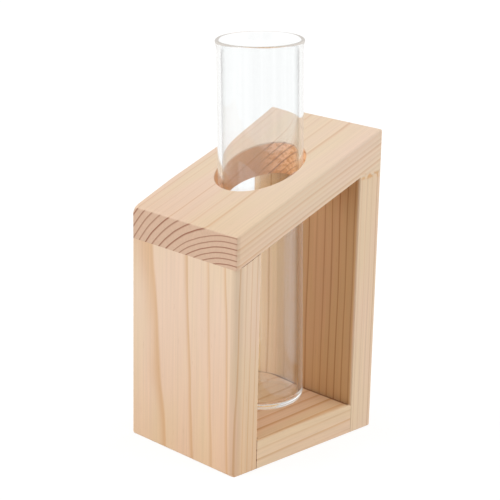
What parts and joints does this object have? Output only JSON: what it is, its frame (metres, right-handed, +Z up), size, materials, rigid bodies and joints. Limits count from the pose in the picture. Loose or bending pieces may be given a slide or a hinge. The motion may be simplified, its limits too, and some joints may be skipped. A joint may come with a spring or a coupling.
{
  "type": "test tube in wooden stand",
  "caption": "Clear flat-bottomed glass test tube with a flared lip, standing through a bored sloping board in a small open pine stand.",
  "frame": {"origin": "on the surface the stand rests on, under the middle of the stand", "axes": "+Z up; +X from the short end of the stand to the tall end; +Y across the width, square to both"},
  "size_m": [0.07, 0.053, 0.1442],
  "materials": {
    "pine": "sanded, unvarnished softwood with visible growth rings",
    "beech_dowel": "fluted hardwood, unfinished",
    "clear_glass": "clear drawn glass tube with a fire-polished lip"
  },
  "bodies": {
    "stand": {"base_board": "pine", "short_upright": "pine", "tall_upright": "pine", "top_board": "pine", "short_base_dowel_near": "beech_dowel", "short_base_dowel_far": "beech_dowel", "tall_base_dowel_near": "beech_dowel", "tall_base_dowel_far": "beech_dowel", "short_top_dowel_near": "beech_dowel", "short_top_dowel_far": "beech_dowel", "tall_top_dowel_near": "beech_dowel", "tall_top_dowel_far": "beech_dowel"},
    "tube": {"test_tube": "clear_glass"}
  },
  "joints": [
    {"name": "tube_lift", "type": "slide", "parent": "stand", "child": "tube", "axis": [-0.0384, 0, 0.9993], "range_m": [0, 0.11]}
  ]
}
